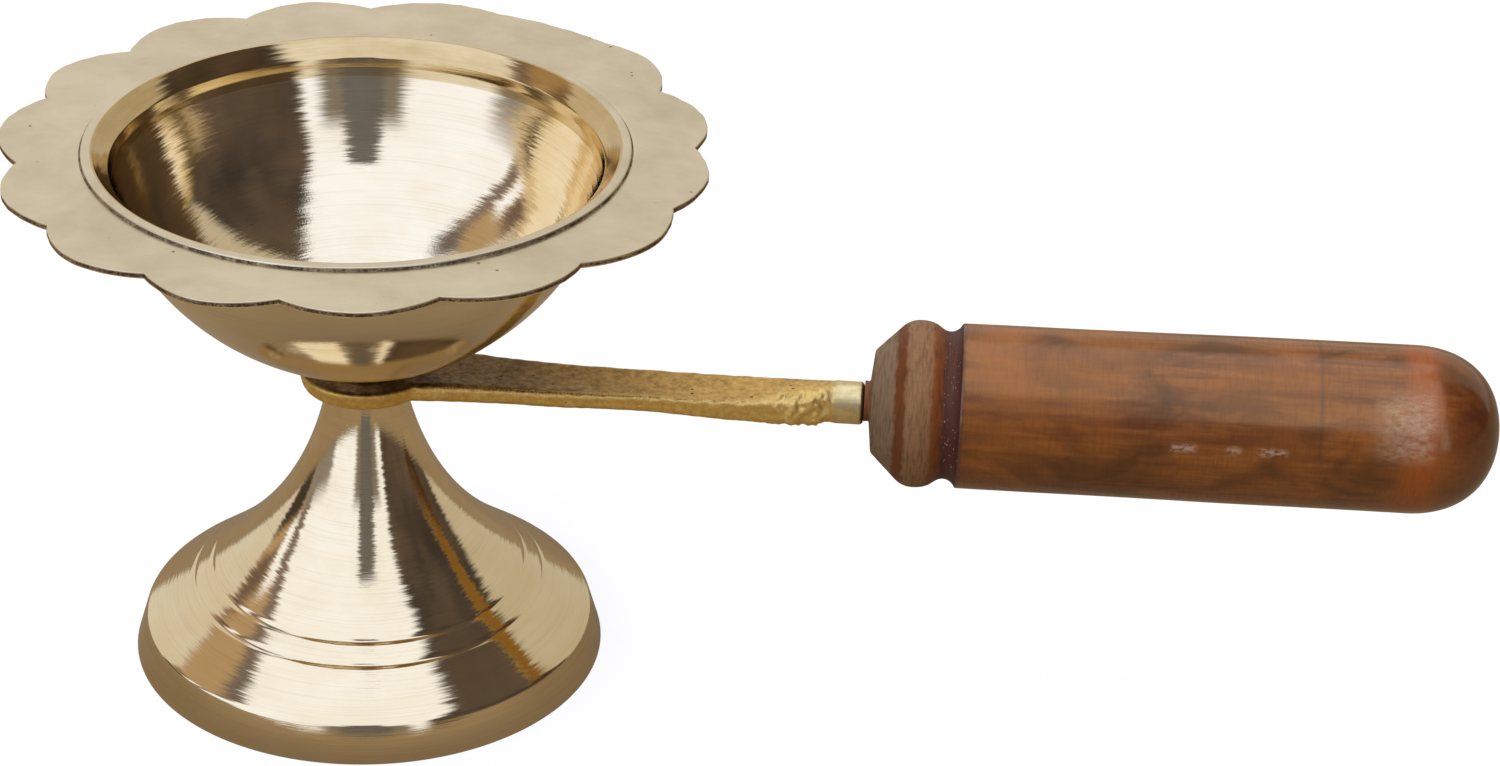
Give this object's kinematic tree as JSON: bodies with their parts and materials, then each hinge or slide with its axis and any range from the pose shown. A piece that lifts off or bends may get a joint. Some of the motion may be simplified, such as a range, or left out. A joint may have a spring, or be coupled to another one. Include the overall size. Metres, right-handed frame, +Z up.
{
  "type": "aarti lamp",
  "caption": "Brass aarti lamp: scalloped bowl screwed onto a bell foot, with a cast side arm that swivels and carries a turned wooden handle.",
  "frame": {"origin": "on the lamp's turning axis, in the plane of the foot's resting face", "axes": "+Z up along the lamp's axis, +X along the arm towards the wooden handle, +Y by the right-hand rule"},
  "size_m": [0.2224, 0.1044, 0.0849],
  "materials": {
    "turned_brass": "polished on the lathe, fine turning lines",
    "bowl_brass": "polished inside and below, satin rim with cast edges",
    "stud_brass": "cut thread, dull",
    "cast_brass": "rough sand casting, rubbed bright on the edges",
    "tang_steel": "plain drawn rod",
    "varnished_wood": "varnished, worn in places"
  },
  "bodies": {
    "foot": {"bell_foot": "turned_brass"},
    "arm": {"handle_arm": "cast_brass", "handle_tang": "tang_steel", "wooden_handle": "varnished_wood"},
    "stud": {"bowl_stud": "stud_brass"},
    "bowl": {"bowl": "bowl_brass"}
  },
  "joints": [
    {"name": "arm_swivel", "type": "hinge", "parent": "foot", "child": "arm", "pos_m": [0, 0, 0.0468], "axis": [0, 0, 1], "continuous": true},
    {"name": "bowl_turn", "type": "hinge", "parent": "foot", "child": "stud", "pos_m": [0, 0, 0.0483], "axis": [0, 0, 1], "range_deg": [0, 1440]},
    {"name": "bowl_rise", "type": "slide", "parent": "stud", "child": "bowl", "axis": [0, 0, 1], "range_m": [0, 0.0041]}
  ],
  "couplings": [
    {"joint": "bowl_rise", "follows": "bowl_turn", "m_per_rad": 0.00015915}
  ]
}
